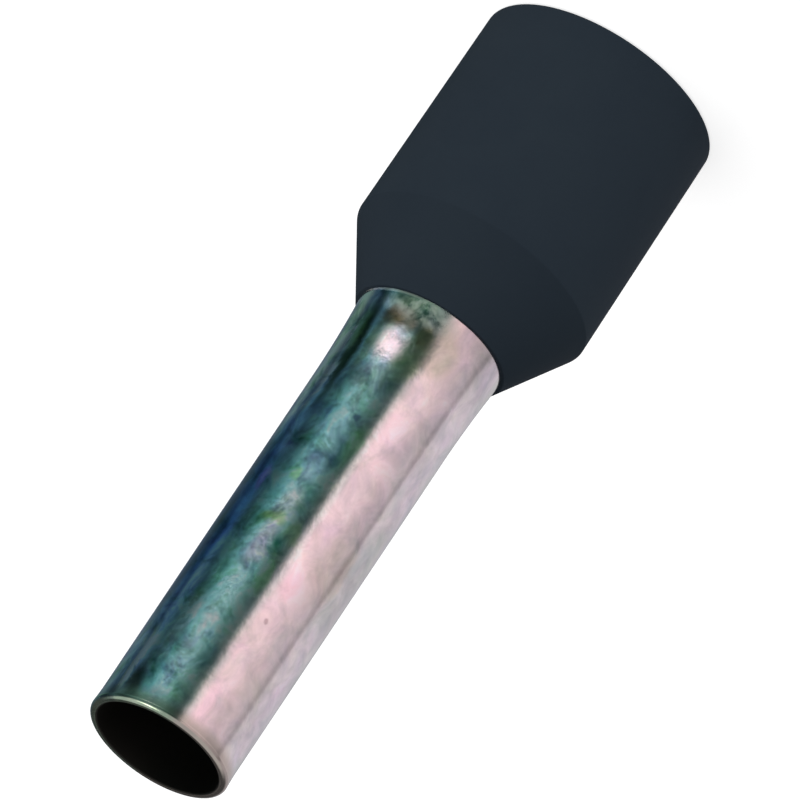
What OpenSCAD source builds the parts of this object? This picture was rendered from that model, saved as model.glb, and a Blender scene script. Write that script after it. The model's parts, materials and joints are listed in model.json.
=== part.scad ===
// Insulated wire ferrule for one stranded conductor: a tin-plated crimp sleeve
// held in a moulded insulating collar. It stands on the mouth of the collar,
// with its axis on Z and the open tip of the sleeve at the top. Millimetres.

/* [Crimp sleeve] */
// Inside diameter of the sleeve, which takes the bare strands
sleeve_bore = 2.2; // [1.8:0.05:2.5]
// Wall thickness of the sleeve
sleeve_wall = 0.15; // [0.12:0.01:0.2]
// Length of sleeve that stands out of the collar
sleeve_reach = 8.55; // [6:0.05:18]
// How much wider the lip at the tip is, on the radius
lip_turn = 0.02; // [0.01:0.005:0.03]
// Length over which the lip turns outwards
lip_len = 0.5; // [0.4:0.05:0.8]
// Rounding of the lip's outer edge at the tip
lip_round = 0.08; // [0.04:0.005:0.08]
// Rounding of the bore's edge at the tip
bore_round = 0.03; // [0.01:0.005:0.03]
// Length in front of the collar over which the sleeve starts to open
swell_len = 1.5; // [0.8:0.1:2]
// Half-angle of the sleeve where the collar's nose grips it
grip_angle = 5; // [3:0.5:7]
// Radius of the bend where the sleeve opens into its bell
bend_round = 0.5; // [0.3:0.05:0.6]
// Length of the bell's straight slope
bell_len = 0.4; // [0.3:0.05:0.5]

/* [Insulating collar] */
// Overall length of the collar
collar_len = 5.4; // [5:0.1:9]
// Inside diameter of the collar, which takes the wire's insulation
entry_bore = 3.7; // [3.5:0.05:4.2]
// Wall thickness of the collar at its shoulder
collar_wall = 0.27; // [0.22:0.01:0.32]
// How much thinner the wall is at the mouth, from the mould's draft
mouth_draft = 0.04; // [0.01:0.01:0.08]
// Length of the cone that leads from the shoulder to the nose
cone_len = 1.33; // [1.2:0.01:1.6]
// Thickness of the collar's edge at the nose
nose_edge = 0.055; // [0.04:0.005:0.08]
// Rounding of the shoulder
shoulder_round = 0.06; // [0.03:0.01:0.3]
// Rounding of both edges of the mouth's rim
rim_round = 0.07; // [0.03:0.01:0.08]
// Rounding where the entry bore runs into the cone
entry_round = 0.3; // [0.1:0.05:0.5]

/* [Hidden] */
$fn = 96;

// Largest turn between two neighbouring points of a round stretch, in degrees
turn_step = 5;
// Fewest points in a round stretch
min_steps = 6;
// Smallest turn of an outline that is drawn as an arc, in degrees
least_turn = 0.01;

// The sleeve's outside, and the heights along the axis
sleeve_r = sleeve_bore / 2 + sleeve_wall;
tip_z = collar_len + sleeve_reach;
lip_z = tip_z - lip_len / 2;
lip_angle = atan(lip_turn / (lip_len / 2));
swell_z = collar_len + swell_len / 2;
grip_r = sleeve_r + (swell_z - collar_len) * tan(grip_angle);

// The collar's outside: its cone runs from the shoulder to the nose
shoulder_r = entry_bore / 2 + collar_wall;
shoulder_z = collar_len - cone_len;
nose_r = grip_r + nose_edge;
nose_round = nose_edge / 3;
cone_angle = atan((shoulder_r - nose_r) / cone_len);

// Radius of the collar's inner cone at height z, one wall inside its outer cone
function seat_r(z) = shoulder_r - collar_wall / cos(cone_angle) - (z - shoulder_z) * tan(cone_angle);

// Where the gripped stretch of the sleeve would meet the slope of its bell
bend_z = shoulder_z
    + (seat_r(shoulder_z) - grip_r - cone_len * tan(grip_angle))
    / (tan(cone_angle) - tan(grip_angle));
bend_reach = bend_round * tan((cone_angle - grip_angle) / 2);
// The bell's rim, and the top of the straight entry bore
rim_z = bend_z - (bend_reach + bell_len) * cos(cone_angle);
entry_z = shoulder_z + (seat_r(shoulder_z) - entry_bore / 2) / tan(cone_angle);

// Outlines are lists of corners [radius, height, rounding] in the half plane.
function spot(corner) = [corner[0], corner[1]];
function unit(v) = v / norm(v);
function turn_between(u, v) = acos(max(-1, min(1, u * v)));

// Points of one corner of an outline: the corner itself, or an arc if it is rounded
function round_stretch(before, corner, after) =
    let (
        u = unit(spot(before) - spot(corner)),
        v = unit(spot(after) - spot(corner)),
        turn = 180 - turn_between(u, v),
        rounding = corner[2]
    )
    rounding == 0 || turn < least_turn ? [spot(corner)] :
    let (
        reach = rounding * tan(turn / 2),
        centre = spot(corner) + unit(u + v) * rounding / cos(turn / 2),
        start = spot(corner) + u * reach - centre,
        side = cross(u, v) < 0 ? 1 : -1,
        steps = max(min_steps, ceil(turn / turn_step))
    )
    [for (i = [0:steps]) centre + turned(start, side * turn * i / steps)];

function turned(v, angle) = [
    v[0] * cos(angle) - v[1] * sin(angle),
    v[0] * sin(angle) + v[1] * cos(angle)
];

// A closed outline with every rounding drawn
function rounded(corners) = [
    for (i = [0:len(corners) - 1])
        each round_stretch(
            corners[(i + len(corners) - 1) % len(corners)],
            corners[i],
            corners[(i + 1) % len(corners)]
        )
];

// Radii of the sleeve's two long bends. The lip's bend takes most of the slope
// that the lip's rounded edge leaves; the swell's bend takes the whole swell.
edge_reach = lip_round * tan((90 + lip_angle) / 2);
bend_share = 0.9;
lip_bend = bend_share * (lip_len / 2 - edge_reach) / tan(lip_angle / 2);
swell_bend = (swell_len / 2) / tan(grip_angle / 2);

// Corners of the sleeve's outer surface, from the lip down to the bell's rim.
// The collar is moulded to the same line below its nose.
lip_corner = [sleeve_r, lip_z, lip_bend];
swell_corner = [sleeve_r, swell_z, swell_bend];
bend_corner = [seat_r(bend_z), bend_z, bend_round];
bell_corner = [seat_r(rim_z), rim_z, 0];

// A corner of the sleeve's inner surface, one wall inside its outer surface.
// The slopes are the half-angles of the tube above and below the corner.
function inner_corner(outer, slope_above, slope_below, rounding) =
    let (half_turn = (slope_below - slope_above) / 2, lean = (slope_above + slope_below) / 2)
    [
        outer[0] - sleeve_wall * cos(lean) / cos(half_turn),
        outer[1] - sleeve_wall * sin(lean) / cos(half_turn),
        rounding
    ];

// Crimp sleeve: one drawn copper tube with a turned lip at the tip and a bell
// at its hidden end, all in one even wall
module crimp_sleeve() {
    tip_r = sleeve_r + lip_turn;
    outside = [[tip_r, tip_z, lip_round], lip_corner, swell_corner, bend_corner, bell_corner];
    inside = [
        inner_corner(bell_corner, cone_angle, cone_angle, 0),
        inner_corner(bend_corner, grip_angle, cone_angle, bend_round + sleeve_wall),
        inner_corner(swell_corner, 0, grip_angle, swell_bend + sleeve_wall),
        inner_corner(lip_corner, -lip_angle, 0, lip_bend + sleeve_wall),
        [tip_r - sleeve_wall / cos(lip_angle), tip_z, bore_round]
    ];
    color([0.66, 0.68, 0.66])
        rotate_extrude()
            polygon(rounded(concat(outside, inside)));
}

// Insulating collar: one thin-walled moulding, with a round bore for the wire's
// insulation, a cone that the bell seats in, and a nose that grips the sleeve
module insulating_collar() {
    outside = [
        [shoulder_r - mouth_draft, 0, rim_round],
        [shoulder_r, shoulder_z, shoulder_round],
        [nose_r, collar_len, nose_round]
    ];
    inside = [
        [grip_r, collar_len, 0],
        bend_corner,
        [entry_bore / 2, entry_z, entry_round],
        [entry_bore / 2, 0, rim_round]
    ];
    color([0.15, 0.18, 0.21])
        rotate_extrude()
            polygon(rounded(concat(outside, inside)));
}

crimp_sleeve();
insulating_collar();
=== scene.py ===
import json
import math

import bmesh
import bpy
from mathutils import Matrix, Vector


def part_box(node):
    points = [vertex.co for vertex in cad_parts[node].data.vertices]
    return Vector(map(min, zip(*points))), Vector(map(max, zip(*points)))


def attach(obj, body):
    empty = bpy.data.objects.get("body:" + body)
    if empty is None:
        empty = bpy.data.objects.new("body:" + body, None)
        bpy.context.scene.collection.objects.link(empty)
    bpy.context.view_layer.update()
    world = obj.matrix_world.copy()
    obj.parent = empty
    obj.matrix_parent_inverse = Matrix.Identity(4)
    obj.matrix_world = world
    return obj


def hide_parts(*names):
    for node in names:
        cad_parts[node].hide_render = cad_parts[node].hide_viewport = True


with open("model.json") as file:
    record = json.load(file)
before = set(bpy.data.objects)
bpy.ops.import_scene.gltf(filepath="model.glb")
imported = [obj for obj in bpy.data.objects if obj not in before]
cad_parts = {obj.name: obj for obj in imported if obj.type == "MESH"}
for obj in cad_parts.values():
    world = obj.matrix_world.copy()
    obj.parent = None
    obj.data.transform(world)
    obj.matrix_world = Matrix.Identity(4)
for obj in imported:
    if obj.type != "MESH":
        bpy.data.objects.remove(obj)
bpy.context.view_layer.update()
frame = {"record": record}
mounts = {mount["name"]: mount for mount in frame["record"]["mounts"]}
mm = 0.001


# Crimp sleeve: a drawn copper tube, tin-plated after forming. Its cut tip has a
# small turned lip; at the other end it swells, is gripped by the collar's nose
# and opens into a bell that keeps it in the collar.
sleeve_r = mounts["sleeve_outside"]["dims"]["r_mm"] * mm
bore_r = mounts["sleeve_bore"]["dims"]["r_mm"] * mm
sleeve_wall = sleeve_r - bore_r
sleeve_low, sleeve_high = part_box("crimp_sleeve")
collar_low, collar_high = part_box("insulating_collar")
tip_z = sleeve_high.z
nose_z = collar_high.z
lip_turn = 0.02 * mm
lip_len = 0.5 * mm
lip_round = 0.08 * mm
bore_round = 0.03 * mm
bend_share = 0.9
swell_len = 1.5 * mm
bend_round = 0.5 * mm
grip_angle = math.radians(5)
grip_r = sleeve_r + swell_len / 2 * math.tan(grip_angle)

# The collar's cone sets the slope of the bell that seats in it
collar_wall = 0.27 * mm
cone_len = 1.33 * mm
nose_edge = 0.055 * mm
entry_r = mounts["collar_entry"]["dims"]["r_mm"] * mm
shoulder_r = entry_r + collar_wall
shoulder_z = nose_z - cone_len
nose_r = grip_r + nose_edge
cone_angle = math.atan((shoulder_r - nose_r) / cone_len)
seat_r = shoulder_r - collar_wall / math.cos(cone_angle)


def meeting_height():
    """Height where the gripped stretch of the sleeve would meet the slope of its bell."""
    rise = math.tan(cone_angle) - math.tan(grip_angle)
    return shoulder_z + (seat_r - grip_r - cone_len * math.tan(grip_angle)) / rise


def corner(radius, height, rounding=0.0):
    """One corner of an outline: its radius, its height and the radius it is rounded to."""
    return Vector((radius, 0, height)), rounding


def offset_inwards(outer, slope_above, slope_below, rounding=0.0):
    """The corner one sleeve wall inside another, between two slopes of the tube."""
    half_turn = (slope_below - slope_above) / 2
    lean = (slope_below + slope_above) / 2
    step = sleeve_wall / math.cos(half_turn)
    place = outer[0] - Vector((math.cos(lean), 0, math.sin(lean))) * step
    return place, rounding


def turned_piece(name, corners, around=256, least_steps=6, degrees_a_step=7):
    """A body of revolution: the outline's corners joined, rounded and spun about Z."""
    bm = bmesh.new()
    points = [bm.verts.new(place) for place, rounding in corners]
    for one, other in zip(points, points[1:] + points[:1]):
        bm.edges.new((one, other))
    for i, (place, rounding) in enumerate(corners):
        if rounding == 0:
            continue
        to_last = corners[i - 1][0] - place
        to_next = corners[(i + 1) % len(corners)][0] - place
        turn = math.pi - to_last.angle(to_next)
        bmesh.ops.bevel(
            bm,
            geom=[points[i]],
            offset=rounding * math.tan(turn / 2),
            offset_type="OFFSET",
            segments=max(least_steps, math.ceil(math.degrees(turn) / degrees_a_step)),
            profile=0.5,
            affect="VERTICES",
            material=-1,
        )
    bmesh.ops.spin(
        bm,
        geom=bm.verts[:] + bm.edges[:],
        cent=(0, 0, 0),
        axis=(0, 0, 1),
        angle=math.tau,
        steps=around,
        use_merge=True,
    )
    bmesh.ops.remove_doubles(bm, verts=bm.verts[:], dist=1e-9)
    bmesh.ops.recalc_face_normals(bm, faces=bm.faces[:])
    mesh = bpy.data.meshes.new(name)
    bm.to_mesh(mesh)
    bm.free()
    mesh.shade_smooth()
    mesh.set_sharp_from_angle(angle=math.radians(35))
    piece = bpy.data.objects.new(name, mesh)
    bpy.context.scene.collection.objects.link(piece)
    return piece


lip_angle = math.atan(lip_turn / (lip_len / 2))
edge_reach = lip_round * math.tan((math.pi / 2 + lip_angle) / 2)
lip_bend = bend_share * (lip_len / 2 - edge_reach) / math.tan(lip_angle / 2)
swell_bend = swell_len / 2 / math.tan(grip_angle / 2)
bend_z = meeting_height()
bend_r = grip_r + (nose_z - bend_z) * math.tan(grip_angle)
bell_z = sleeve_low.z + sleeve_wall * math.sin(cone_angle)
bell_r = sleeve_high.x

tip_corner = corner(sleeve_r + lip_turn, tip_z, lip_round)
lip_corner = corner(sleeve_r, tip_z - lip_len / 2, lip_bend)
swell_corner = corner(sleeve_r, nose_z + swell_len / 2, swell_bend)
bend_corner = corner(bend_r, bend_z, bend_round)
bell_corner = corner(bell_r, bell_z)
sleeve = turned_piece(
    "tinned_crimp_sleeve",
    [
        tip_corner,
        lip_corner,
        swell_corner,
        bend_corner,
        bell_corner,
        offset_inwards(bell_corner, cone_angle, cone_angle),
        offset_inwards(bend_corner, grip_angle, cone_angle, bend_round + sleeve_wall),
        offset_inwards(swell_corner, 0, grip_angle, swell_bend + sleeve_wall),
        offset_inwards(lip_corner, -lip_angle, 0, lip_bend + sleeve_wall),
        corner(sleeve_r + lip_turn - sleeve_wall / math.cos(lip_angle), tip_z, bore_round),
    ],
)


def add(tree, kind, **settings):
    """A new node in a tree, with its properties set."""
    node = tree.nodes.new(kind)
    for key, value in settings.items():
        setattr(node, key, value)
    return node


def feed(tree, node, **inputs):
    """Sets or links a node's inputs by name; spaces in a name are written as _."""
    for key, value in inputs.items():
        socket = node.inputs[key.replace("_", " ")]
        if isinstance(value, bpy.types.NodeSocket):
            tree.links.new(value, socket)
        else:
            socket.default_value = value
    return node


def calc(tree, operation, *values, kind="ShaderNodeMath"):
    """The result of a Math node, or of a Vector Math node."""
    node = add(tree, kind, operation=operation)
    for socket, value in zip(node.inputs, values):
        if isinstance(value, bpy.types.NodeSocket):
            tree.links.new(value, socket)
        else:
            socket.default_value = value
    return node.outputs[0]


def fade(tree, value, start, end):
    """A mask that runs smoothly from 0 where value is start to 1 where it is end."""
    node = add(tree, "ShaderNodeMapRange", interpolation_type="SMOOTHSTEP")
    feed(tree, node, Value=value, From_Min=start, From_Max=end)
    return node.outputs["Result"]


def blend(tree, factor, one, other, kind="MIX"):
    """Two colours mixed by a mask."""
    node = add(tree, "ShaderNodeMix", data_type="RGBA", blend_type=kind)
    for socket, value in ((node.inputs[0], factor), (node.inputs[6], one), (node.inputs[7], other)):
        if isinstance(value, bpy.types.NodeSocket):
            tree.links.new(value, socket)
        elif isinstance(value, tuple):
            socket.default_value = (*value, 1)
        else:
            socket.default_value = value
    return node.outputs[2]


def ramp(tree, value, stops, low=0.0, high=1.0, interpolation="LINEAR"):
    """A colour looked up along a row of (place, colour) stops between low and high."""
    node = add(tree, "ShaderNodeValToRGB")
    node.color_ramp.interpolation = interpolation
    for i, (place, _) in enumerate(stops):
        at = (place - low) / (high - low)
        stop = node.color_ramp.elements[i] if i < 2 else node.color_ramp.elements.new(at)
        stop.position = at
    for i, (_, colour) in enumerate(stops):
        tone = colour if isinstance(colour, tuple) else (colour, colour, colour)
        node.color_ramp.elements[i].color = (*tone, 1)
    scaled = add(tree, "ShaderNodeMapRange")
    feed(tree, scaled, Value=value, From_Min=low, From_Max=high)
    tree.links.new(scaled.outputs["Result"], node.inputs["Fac"])
    return node.outputs["Color"]


def grain_group():
    """Mottling in two sizes on a point in millimetres: a mask, a height and hues."""
    tree = bpy.data.node_groups.new("surface grain", "ShaderNodeTree")
    tree.interface.new_socket("Point", in_out="INPUT", socket_type="NodeSocketVector")
    tree.interface.new_socket("Per Millimetre", in_out="INPUT", socket_type="NodeSocketFloat")
    tree.interface.new_socket("Fineness", in_out="INPUT", socket_type="NodeSocketFloat")
    tree.interface.new_socket("Mottle", in_out="OUTPUT", socket_type="NodeSocketFloat")
    tree.interface.new_socket("Grain", in_out="OUTPUT", socket_type="NodeSocketFloat")
    tree.interface.new_socket("Hues", in_out="OUTPUT", socket_type="NodeSocketColor")
    given = add(tree, "NodeGroupInput")
    made = add(tree, "NodeGroupOutput")
    patches = add(tree, "ShaderNodeTexNoise")
    feed(
        tree,
        patches,
        Vector=given.outputs["Point"],
        Scale=given.outputs["Per Millimetre"],
        Detail=3.0,
        Roughness=0.6,
        Distortion=0.5,
    )
    fine = add(tree, "ShaderNodeTexNoise")
    fine_scale = calc(tree, "MULTIPLY", given.outputs["Per Millimetre"], given.outputs["Fineness"])
    feed(tree, fine, Vector=given.outputs["Point"], Scale=fine_scale, Detail=2.0, Roughness=0.5)
    tree.links.new(patches.outputs["Fac"], made.inputs["Mottle"])
    tree.links.new(fine.outputs["Fac"], made.inputs["Grain"])
    tree.links.new(patches.outputs["Color"], made.inputs["Hues"])
    return tree


surface_grain = grain_group()


def grain(tree, point, per_mm, fineness):
    """The surface grain placed in a material with its own values."""
    node = add(tree, "ShaderNodeGroup", node_tree=surface_grain)
    feed(tree, node, Point=point, Per_Millimetre=per_mm, Fineness=fineness)
    return node.outputs["Mottle"], node.outputs["Grain"], node.outputs["Hues"]


def in_millimetres(tree, stretch=(1, 1, 1)):
    """A point of the piece in millimetres, which may be stretched along an axis."""
    place = add(tree, "ShaderNodeTexCoord")
    scaled = add(tree, "ShaderNodeMapping", vector_type="POINT")
    feed(tree, scaled, Vector=place.outputs["Object"], Scale=[share / mm for share in stretch])
    return scaled.outputs["Vector"]


def new_material(name):
    """An empty node material with its Principled shader."""
    material = bpy.data.materials.new(name)
    material.use_nodes = True
    shader = material.node_tree.nodes["Principled BSDF"]
    return material, material.node_tree, shader


# Shares of an oval's half size at which its mask is still full, and gone
patch_core = 0.4
patch_rim = 1.3


def soft_patch_group():
    """A soft-edged oval mask on two measured ways, such as bearing and height."""
    tree = bpy.data.node_groups.new("soft patch", "ShaderNodeTree")
    for name in ("Across", "Along", "Middle Across", "Middle Along", "Half Width", "Half Length"):
        tree.interface.new_socket(name, in_out="INPUT", socket_type="NodeSocketFloat")
    tree.interface.new_socket("Mask", in_out="OUTPUT", socket_type="NodeSocketFloat")
    given = add(tree, "NodeGroupInput")
    made = add(tree, "NodeGroupOutput")
    squares = []
    for way, middle, half in (
        ("Across", "Middle Across", "Half Width"),
        ("Along", "Middle Along", "Half Length"),
    ):
        offset = calc(tree, "SUBTRACT", given.outputs[way], given.outputs[middle])
        share = calc(tree, "DIVIDE", offset, given.outputs[half])
        squares.append(calc(tree, "MULTIPLY", share, share))
    reach = calc(tree, "SQRT", calc(tree, "ADD", *squares))
    tree.links.new(fade(tree, reach, patch_rim, patch_core), made.inputs["Mask"])
    return tree


soft_patch = soft_patch_group()


def patch(tree, across, along, middle, half):
    """The soft patch placed at a middle (across, along) with half sizes (across, along)."""
    node = add(tree, "ShaderNodeGroup", node_tree=soft_patch)
    feed(tree, node, Across=across, Along=along)
    feed(tree, node, Middle_Across=middle[0], Middle_Along=middle[1])
    feed(tree, node, Half_Width=half[0], Half_Length=half[1])
    return node.outputs["Mask"]


# Marks in the film, among them painted highlights, reflections and shade: bearing in degrees from the
# front, height in millimetres from the collar's nose, half sizes in the same units, colour and strength
film_and_reflection_marks = [
    ((64, 4.7), (18, 2.4), (0.16, 0.39, 0.80), 0.95),
    ((54, 6.4), (6, 1.2), (0.55, 0.80, 1.00), 0.8),
    ((60, 4.2), (10, 0.9), (0.13, 0.32, 0.60), 0.6),
    ((53, 2.6), (8, 0.8), (0.28, 0.50, 0.65), 0.8),
    ((76, 5.0), (12, 2.4), (0.05, 0.07, 0.17), 0.9),
    ((18, 7.0), (10, 1.0), (0.62, 0.90, 1.00), 0.8),
    # painted reflection, lighter towards the tip
    ((39, 7.0), (6, 1.0), (0.75, 1.00, 1.00), 0.8),
    # painted dark reflection in the flare below the lip
    ((46, 8.35), (9, 0.5), (0.11, 0.12, 0.09), 0.9),
    ((57, 7.9), (4, 0.9), (1.00, 1.00, 0.80), 0.9),
    ((20, 5.1), (9, 0.5), (0.85, 0.68, 0.80), 0.6),
    ((5, 5.6), (6, 0.4), (0.55, 0.97, 0.54), 0.7),
    ((5, 4.7), (7, 0.25), (0.64, 0.90, 0.46), 0.7),
    ((24, 4.62), (10, 0.12), (0.60, 0.92, 0.32), 0.7),
    ((29, 3.78), (6, 0.16), (0.45, 1.00, 0.42), 0.8),
    ((53, 3.95), (5, 0.25), (0.45, 0.35, 1.00), 0.7),
    ((19, 4.3), (10, 0.3), (0.85, 0.74, 0.70), 0.5),
    ((4, 2.9), (6, 0.5), (0.39, 0.83, 0.45), 0.6),
    ((18, 2.9), (9, 1.0), (0.29, 0.54, 0.54), 0.8),
    ((13, 2.4), (3, 0.08), (0.13, 0.21, 0.36), 0.8),
    ((51, 1.2), (6, 1.3), (0.04, 0.09, 0.04), 0.95),
    # painted reflection: a light streak along the edge by the nose
    ((74, 1.0), (18, 1.7), (1.00, 1.00, 0.90), 0.9),
    ((57, 0.8), (6, 0.6), (0.15, 0.33, 0.11), 0.8),
    ((73, 0.45), (13, 0.3), (0.60, 0.78, 0.60), 0.6),
    ((24, 1.6), (18, 0.3), (0.44, 0.62, 0.58), 0.8),
    ((4, 1.05), (10, 0.55), (0.56, 0.70, 0.42), 0.8),
    ((5, 0.62), (8, 0.28), (0.36, 0.35, 0.18), 0.85),
    # painted shade by the nose, darkening the specks where the room lights them more
    ((20, 0.2), (24, 0.3), (0.30, 0.40, 0.28), 0.8),
    ((26, 0.47), (20, 0.22), (0.15, 0.12, 0.08), 0.9),
    ((35, 0.58), (9, 0.26), (0.14, 0.11, 0.06), 0.85),
    ((13, 1.05), (6, 0.45), (0.40, 0.50, 0.30), 0.7),
    ((39, 1.15), (5, 0.45), (0.42, 0.54, 0.32), 0.6),
    # painted highlight on the swell, where the swell lamp is reflected
    ((24, 0.98), (15, 0.34), (1.00, 0.84, 0.85), 0.95),
    ((-4, 4.0), (4, 2.2), (1.00, 0.94, 0.94), 0.8),
    ((59, 1.75), (4, 0.4), (1.00, 1.00, 0.85), 0.8),
    ((-62, 4.6), (18, 1.5), (0.68, 0.70, 0.67), 0.75),
    ((-47, 4.7), (6, 0.7), (0.63, 0.56, 0.47), 0.5),
    ((-34, 4.7), (15, 1.0), (0.76, 0.68, 0.61), 0.5),
    ((-14.5, 6.2), (2, 0.06), (0.51, 0.40, 0.42), 0.8),
    ((-13, 8.0), (7, 0.5), (0.95, 0.69, 0.78), 0.5),
    ((-15, 5.5), (7, 0.3), (0.98, 0.62, 0.72), 0.5),
    ((-12, 2.4), (9, 0.7), (1.00, 0.84, 0.85), 0.7),
    ((-12, 0.65), (14, 0.55), (0.60, 0.57, 0.47), 0.8),
]

# How far the mottling shifts the border of the side tint, in radii, and its marks, in degrees and
# millimetres
border_wander = 0.10
bearing_wander = 12
height_wander = 0.6

# Shares of the radius behind the middle where the side tint thins, and where it ends
tint_thins = 0.08
tint_ends = 0.72

# Lengths from the tip where the rubbed lip, with its painted reflection, begins, and where it is quite
# bare
rubbed_from = 0.36 * mm
rubbed_full = 0.10 * mm

# Contrast of the crystals: everywhere, more on the dark side, lost on the rubbed lip and under the
# painted highlight on the swell; the shares in it of the spangle, the clouds and the frost; and that of
# their hues
plain_contrast = 0.42
dark_contrast = 1.1
lip_and_highlight_loss = 0.6
spangle_share = 1.9
cloud_share = 0.7
frost_share = 0.4
hue_share = 0.5

# The spot on the swell under the painted highlight, the specks at the nose and the painted highlight
# line at the nose: middle and half size, in degrees and millimetres from the nose; then how much the
# specks and the line cover
highlight_spot_place = ((24, 1.0), (15, 0.4))
speck_place = ((17, 0.22), (28, 0.24))
nose_highlight_place = ((38, 0.0), (38, 0.05))
speck_cover = 0.9
nose_highlight_cover = 0.6

# Roughness of bright tin, what frost and the oily bore add to it, and what is missing on the spot under
# the painted highlight
tin_roughness = 0.12
frost_roughness = 0.06
bore_roughness = 0.4
spot_polish = 0.03


def tinned_copper():
    """Bright tin over copper: a thin film and a painted reflection of tinted walls give it a rosy side
    and a blue-green side.
    """
    material, tree, shader = new_material("tinned copper")
    point = in_millimetres(tree)
    parts = add(tree, "ShaderNodeSeparateXYZ")
    feed(tree, parts, Vector=point)
    x, y, z = parts.outputs
    radius = calc(tree, "SQRT", calc(tree, "ADD", calc(tree, "POWER", x, 2), calc(tree, "POWER", y, 2)))
    drawn = in_millimetres(tree, stretch=(1, 1, 0.6))
    clouds, _, _ = grain(tree, drawn, per_mm=1.4, fineness=6.0)
    plated = in_millimetres(tree, stretch=(1, 1, 0.8))
    spangle, frost, hues = grain(tree, plated, per_mm=2.4, fineness=4.0)
    drift = calc(tree, "SUBTRACT", clouds, 0.5)
    flutter = calc(tree, "SUBTRACT", spangle, 0.5)

    # Film and painted reflection: the tint follows the side of the tube, with a wandering border, and
    # it gives way to plain tin round the back
    wander = calc(tree, "MULTIPLY", drift, border_wander)
    side = calc(tree, "ADD", calc(tree, "DIVIDE", x, radius), wander)
    film_and_reflection = ramp(
        tree,
        side,
        [
            (-1.0, (0.86, 0.85, 0.86)),
            (-0.88, (0.88, 0.80, 0.86)),
            (-0.75, (0.87, 0.82, 0.83)),
            (-0.45, (0.88, 0.75, 0.77)),
            (-0.16, (0.90, 0.76, 0.78)),
            (-0.04, (0.85, 0.80, 0.79)),
            (0.10, (0.62, 0.84, 0.83)),
            (0.20, (0.56, 0.88, 0.85)),
            (0.35, (0.54, 0.86, 0.91)),
            (0.52, (0.42, 0.85, 0.85)),
            (0.62, (0.46, 0.84, 0.87)),
            (0.80, (0.52, 0.76, 0.98)),
            (0.92, (0.46, 0.63, 0.84)),
            (1.0, (0.63, 0.67, 0.67)),
        ],
        low=-1.1,
        high=1.1,
    )
    cool = fade(tree, side, -0.06, 0.16)
    front = fade(tree, y, tint_ends * sleeve_r / mm, tint_thins * sleeve_r / mm)
    film_and_reflection = blend(tree, front, (0.84, 0.84, 0.82), film_and_reflection)
    bearing = calc(tree, "ARCTAN2", x, calc(tree, "MULTIPLY", y, -1))
    wander = calc(tree, "MULTIPLY", flutter, bearing_wander)
    bearing = calc(tree, "ADD", calc(tree, "DEGREES", bearing), wander)
    edge = calc(tree, "SUBTRACT", z, nose_z / mm)
    height = calc(tree, "ADD", edge, calc(tree, "MULTIPLY", drift, height_wander))
    for middle, half, tint, strength in film_and_reflection_marks:
        mask = patch(tree, bearing, height, middle, half)
        film_and_reflection = blend(tree, calc(tree, "MULTIPLY", mask, strength), film_and_reflection, tint)

    # The lip is rubbed bare by handling; its darker, greener colour there is painted reflection
    bare_lip = fade(tree, z, (tip_z - rubbed_from) / mm, (tip_z - rubbed_full) / mm)
    lip_tin_and_reflection = blend(tree, cool, (0.65, 0.58, 0.53), (0.51, 0.64, 0.51))
    film_and_reflection = blend(tree, bare_lip, film_and_reflection, lip_tin_and_reflection)

    # Crystals of the plating lighten, darken and tint it, more so on the dark side
    dark_side = calc(tree, "MULTIPLY", cool, front)
    lively = calc(tree, "MULTIPLY", dark_side, dark_contrast)
    contrast = calc(tree, "ADD", plain_contrast, lively)
    # the spot under the painted highlight on the swell, where the mottle is calmed to keep the
    # highlight smooth
    highlight_spot = patch(tree, bearing, height, *highlight_spot_place)
    lip_and_highlight_spot = calc(tree, "MAXIMUM", bare_lip, highlight_spot)
    kept = calc(tree, "SUBTRACT", 1.0, calc(tree, "MULTIPLY", lip_and_highlight_spot, lip_and_highlight_loss))
    contrast = calc(tree, "MULTIPLY", contrast, kept)
    glitter = calc(tree, "SUBTRACT", frost, 0.5)
    crystals = calc(tree, "MULTIPLY", flutter, spangle_share)
    crystals = calc(tree, "ADD", crystals, calc(tree, "MULTIPLY", drift, cloud_share))
    crystals = calc(tree, "ADD", crystals, calc(tree, "MULTIPLY", glitter, frost_share))
    shade = calc(tree, "ADD", 1.0, calc(tree, "MULTIPLY", crystals, contrast))
    shift = calc(tree, "MULTIPLY", contrast, hue_share)
    shade = calc(tree, "SUBTRACT", shade, calc(tree, "MULTIPLY", shift, 0.5))
    lit = calc(tree, "MULTIPLY_ADD", hues, shift, shade, kind="ShaderNodeVectorMath")
    film_and_reflection = blend(tree, 1.0, film_and_reflection, lit, kind="MULTIPLY")

    # Dull grey plating has built up in specks where the nose grips the sleeve; the thin dull grey line
    # right at the nose is a painted highlight
    specks = patch(tree, bearing, edge, *speck_place)
    coarse = calc(tree, "MULTIPLY", spangle, 0.75)
    blotches = calc(tree, "ADD", coarse, calc(tree, "MULTIPLY", frost, 0.25))
    specks = calc(tree, "MULTIPLY", specks, fade(tree, blotches, 0.33, 0.62))
    specks = calc(tree, "MULTIPLY", specks, speck_cover)
    # painted highlight: a thin light line along the nose
    nose_highlight_line = patch(tree, bearing, edge, *nose_highlight_place)
    dull = calc(tree, "MAXIMUM", specks, calc(tree, "MULTIPLY", nose_highlight_line, nose_highlight_cover))
    film_and_reflection = blend(tree, dull, film_and_reflection, (0.24, 0.265, 0.24))

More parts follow.
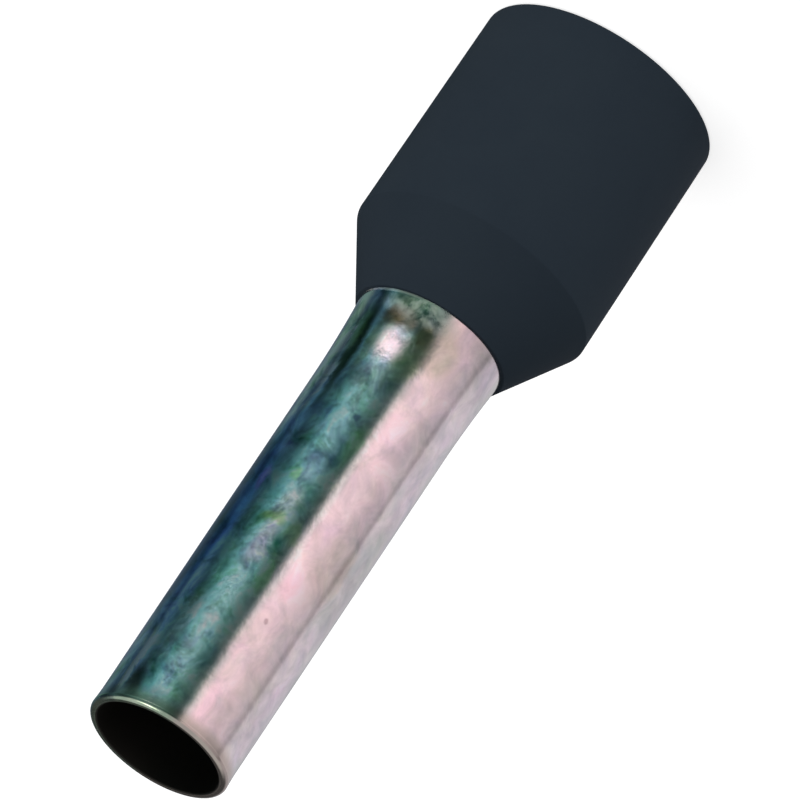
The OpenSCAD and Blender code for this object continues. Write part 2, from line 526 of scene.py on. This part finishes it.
    # The bore is painted near-black as shade deep inside the tube, and left dull
    bore_edge = (bore_r + 0.5 * sleeve_wall) / mm
    in_bore = fade(tree, radius, bore_edge, (bore_r + 0.2 * sleeve_wall) / mm)
    colour = blend(tree, in_bore, film_and_reflection, (0.035, 0.034, 0.030))
    roughness = calc(tree, "ADD", tin_roughness, calc(tree, "MULTIPLY", frost, frost_roughness))
    polish = calc(tree, "MULTIPLY", highlight_spot, spot_polish)
    roughness = calc(tree, "SUBTRACT", roughness, polish)
    roughness = calc(tree, "ADD", roughness, calc(tree, "MULTIPLY", in_bore, bore_roughness))
    metal = calc(tree, "SUBTRACT", 1.0, dull)
    bump = add(tree, "ShaderNodeBump")
    relief = calc(tree, "ADD", calc(tree, "MULTIPLY", spangle, 2.0), frost)
    feed(tree, bump, Strength=0.1, Distance=0.01 * mm, Height=relief)
    feed(tree, shader, Base_Color=colour, Roughness=roughness, Metallic=metal, Normal=bump.outputs[0])
    return material


sleeve.data.materials.append(tinned_copper())
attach(sleeve, "root")
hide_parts("crimp_sleeve")


# Insulating collar: one thin-walled moulding in black plastic. Its nose grips
# the sleeve, its cone seats the bell, and its skirt takes the wire's insulation.
mouth_draft = 0.04 * mm
rim_round = 0.07 * mm
shoulder_round = 0.06 * mm
entry_round = 0.3 * mm
entry_z = shoulder_z + (seat_r - entry_r) / math.tan(cone_angle)
collar = turned_piece(
    "black_insulating_collar",
    [
        corner(shoulder_r - mouth_draft, collar_low.z, rim_round),
        corner(shoulder_r, shoulder_z, shoulder_round),
        corner(nose_r, nose_z, nose_edge / 3),
        corner(grip_r, nose_z),
        bend_corner,
        corner(entry_r, entry_z, entry_round),
        corner(entry_r, collar_low.z, rim_round),
    ],
)


# Roughness of the plastic's skin where it is smoothest, and how far it varies
skin_roughness = 0.58
skin_variation = 0.12


def moulded_plastic():
    """Black plastic with the fine, slightly uneven skin that a mould leaves."""
    material, tree, shader = new_material("black moulded plastic")
    point = in_millimetres(tree)
    mottle, fine, _ = grain(tree, point, per_mm=0.7, fineness=30.0)
    colour = blend(tree, mottle, (0.0176, 0.0256, 0.0358), (0.0218, 0.0309, 0.0406))
    uneven = calc(tree, "MULTIPLY", mottle, skin_variation)
    roughness = calc(tree, "ADD", skin_roughness, uneven)
    bump = add(tree, "ShaderNodeBump")
    feed(tree, bump, Strength=0.2, Distance=0.01 * mm, Height=fine)
    feed(tree, shader, Base_Color=colour, Roughness=roughness, Normal=bump.outputs[0])
    feed(tree, shader, Specular_IOR_Level=0.02)
    return material


collar.data.materials.append(moulded_plastic())
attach(collar, "root")
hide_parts("insulating_collar")


# Table: a pale lit sheet just under the ferrule, as under small parts in a studio.
# It is seen from above only, and polished metal reflects the cards round it.
table_half = 1.5
table_gap = 0.02 * mm
table_mesh = bpy.data.meshes.new("table")
bm = bmesh.new()
bmesh.ops.create_grid(bm, x_segments=1, y_segments=1, size=table_half)
bmesh.ops.translate(bm, verts=bm.verts[:], vec=(0, 0, -table_gap))
bm.to_mesh(table_mesh)
bm.free()
table = bpy.data.objects.new("table", table_mesh)
bpy.context.scene.collection.objects.link(table)
table.visible_glossy = False

table_paint, tree, shader = new_material("pale table")
feed(tree, shader, Base_Color=(0.6, 0.6, 0.6, 1), Roughness=0.9, Specular_IOR_Level=0.0)
feed(tree, shader, Emission_Color=(1, 1, 1, 1), Emission_Strength=0.75)

# Looked at from below, the table is clear
seen_from = add(tree, "ShaderNodeNewGeometry")
clear = add(tree, "ShaderNodeBsdfTransparent")
either = add(tree, "ShaderNodeMixShader")
tree.links.new(seen_from.outputs["Backfacing"], either.inputs[0])
tree.links.new(shader.outputs[0], either.inputs[1])
tree.links.new(clear.outputs[0], either.inputs[2])
tree.links.new(either.outputs[0], tree.nodes["Material Output"].inputs["Surface"])
table.data.materials.append(table_paint)


# Studio round it: white light for matt surfaces, dimmer on the side away from the
# lamps. Polished metal reflects cards of many greys before tinted walls, as bands
# along its length, and on its swell and lip the two lamps.
world = bpy.data.worlds.new("studio")
bpy.context.scene.world = world
world.use_nodes = True
world.cycles.sampling_method = "NONE"
tree = world.node_tree
direction = add(tree, "ShaderNodeTexCoord")
along = add(tree, "ShaderNodeSeparateXYZ")
feed(tree, along, Vector=direction.outputs["Generated"])
bearing = calc(tree, "ARCTAN2", along.outputs["X"], calc(tree, "MULTIPLY", along.outputs["Y"], -1))
degrees = calc(tree, "DEGREES", bearing)
elevation = calc(tree, "DEGREES", calc(tree, "ARCSINE", along.outputs["Z"]))

# The tops of the dark cards lean apart, by these many degrees on each side, which
# only the swell reflects
lean_right = 16
lean_left = 14
right_tops = patch(tree, degrees, elevation, (92, -18.5), (34, 5))
leaning = calc(tree, "SUBTRACT", degrees, calc(tree, "MULTIPLY", right_tops, lean_right))
left_tops = patch(tree, degrees, elevation, (-6, -20.8), (18, 2.4))
leaning = calc(tree, "ADD", leaning, calc(tree, "MULTIPLY", left_tops, lean_left))

# The cards' greys, and below the tints of the walls behind them, each with its
# bearing in degrees from the front
cards = ramp(
    tree,
    leaning,
    [
        (-180, 0.38),
        (-165, 0.52),
        (-147, 0.60),
        (-106, 0.68),
        (-94, 0.66),
        (-90, 0.39),
        (-85, 0.38),
        (-81, 0.54),
        (-60, 0.66),
        (-31, 0.92),
        (-18, 1.0),
        (-8, 1.0),
        (-4.5, 0.5),
        (-0.5, 0.215),
        (2.8, 0.085),
        (8, 0.105),
        (21, 0.18),
        (30, 0.28),
        (40, 0.29),
        (48, 0.255),
        (59, 0.27),
        (70, 0.19),
        (80, 0.095),
        (92, 0.065),
        (99, 0.13),
        (106, 0.17),
        (113, 0.155),
        (121, 0.075),
        (132, 0.095),
        (144, 0.24),
        (165, 0.28),
        (180, 0.38),
    ],
    low=-180,
    high=180,
)
walls = ramp(
    tree,
    leaning,
    [
        (-180, (0.60, 0.66, 0.74)),
        (-165, (0.88, 0.86, 0.90)),
        (-106, (0.92, 0.86, 0.90)),
        (-60, (0.94, 0.84, 0.87)),
        (-15, (1.00, 0.84, 0.86)),
        (-5, (0.90, 0.86, 0.84)),
        (3, (0.54, 0.80, 0.78)),
        (14, (0.57, 0.88, 0.82)),
        (48, (0.58, 0.84, 0.86)),
        (80, (0.46, 0.82, 0.86)),
        (105, (0.42, 0.72, 0.84)),
        (130, (0.34, 0.56, 0.80)),
        (165, (0.37, 0.50, 0.65)),
        (180, (0.60, 0.66, 0.74)),
    ],
    low=-180,
    high=180,
)
cards = blend(tree, 1.0, cards, walls, kind="MULTIPLY")

# Above and below the middle of the cards it is a little darker, overhead it is
# grey, and high at the back there is a dark screen
falling_off = 0.25
higher = fade(tree, elevation, -23, -16)
cards = blend(tree, calc(tree, "MULTIPLY", higher, falling_off), cards, (0, 0, 0))
lower = fade(tree, elevation, -27, -33)
cards = blend(tree, calc(tree, "MULTIPLY", lower, falling_off), cards, (0, 0, 0))
overhead = fade(tree, elevation, 20, 40)
cards = blend(tree, overhead, cards, (0.5, 0.5, 0.5))
away = calc(tree, "ABSOLUTE", degrees)
dark_back = patch(tree, away, elevation, (180, 22), (60, 20))
cards = blend(tree, dark_back, cards, (0.06, 0.06, 0.06))

# A green-grey side card, the lamp that lights the swell, and the lamp for the lip
side_card = patch(tree, degrees, elevation, (143, -20), (20, 6))
cards = blend(tree, side_card, cards, (0.12, 0.20, 0.18))
swell_lamp = patch(tree, degrees, elevation, (46, -21.5), (22, 1.1))
cards = blend(tree, swell_lamp, cards, (1.8, 1.65, 1.7))
lip_lamp = patch(tree, degrees, elevation, (60, 55), (20, 15))
cards = blend(tree, lip_lamp, cards, (2.5, 2.4, 2.2))

# Reflections see the cards, and everything else the white room
rays = add(tree, "ShaderNodeLightPath")
dim_side = calc(tree, "MULTIPLY", fade(tree, degrees, -36, -76), rays.outputs["Is Diffuse Ray"])
room = blend(tree, dim_side, (1.0, 1.0, 1.0), (0, 0, 0))
surround = blend(tree, rays.outputs["Is Glossy Ray"], room, cards)
backdrop = tree.nodes["Background"]
feed(tree, backdrop, Color=surround, Strength=1.0)


# Camera: a long lens that looks down on the tip. It is turned about its own axis,
# so that the ferrule lies across the view.
view_height = math.radians(25)
roll = math.radians(146.2)
camera_distance = 400 * mm
frame_width = 12.742 * mm
look_shift = (0.324 * mm, 0.257 * mm)
across = Vector((1, 0, 0))
upwards = Vector((0, math.sin(view_height), math.cos(view_height)))
right = across * math.cos(roll) - upwards * math.sin(roll)
top = across * math.sin(roll) + upwards * math.cos(roll)
back = right.cross(top)
aim = Vector((0, 0, tip_z / 2)) + right * look_shift[0] + top * look_shift[1]
camera_data = bpy.data.cameras.new("camera")
camera = bpy.data.objects.new("camera", camera_data)
bpy.context.scene.collection.objects.link(camera)
camera_data.lens = camera_data.sensor_width * camera_distance / frame_width
camera_data.clip_start = 0.01
camera.matrix_world = Matrix.Translation(aim + back * camera_distance) @ Matrix(
    (right, top, back)
).transposed().to_4x4()
bpy.context.scene.camera = camera
bpy.context.scene.view_settings.view_transform = "Standard"
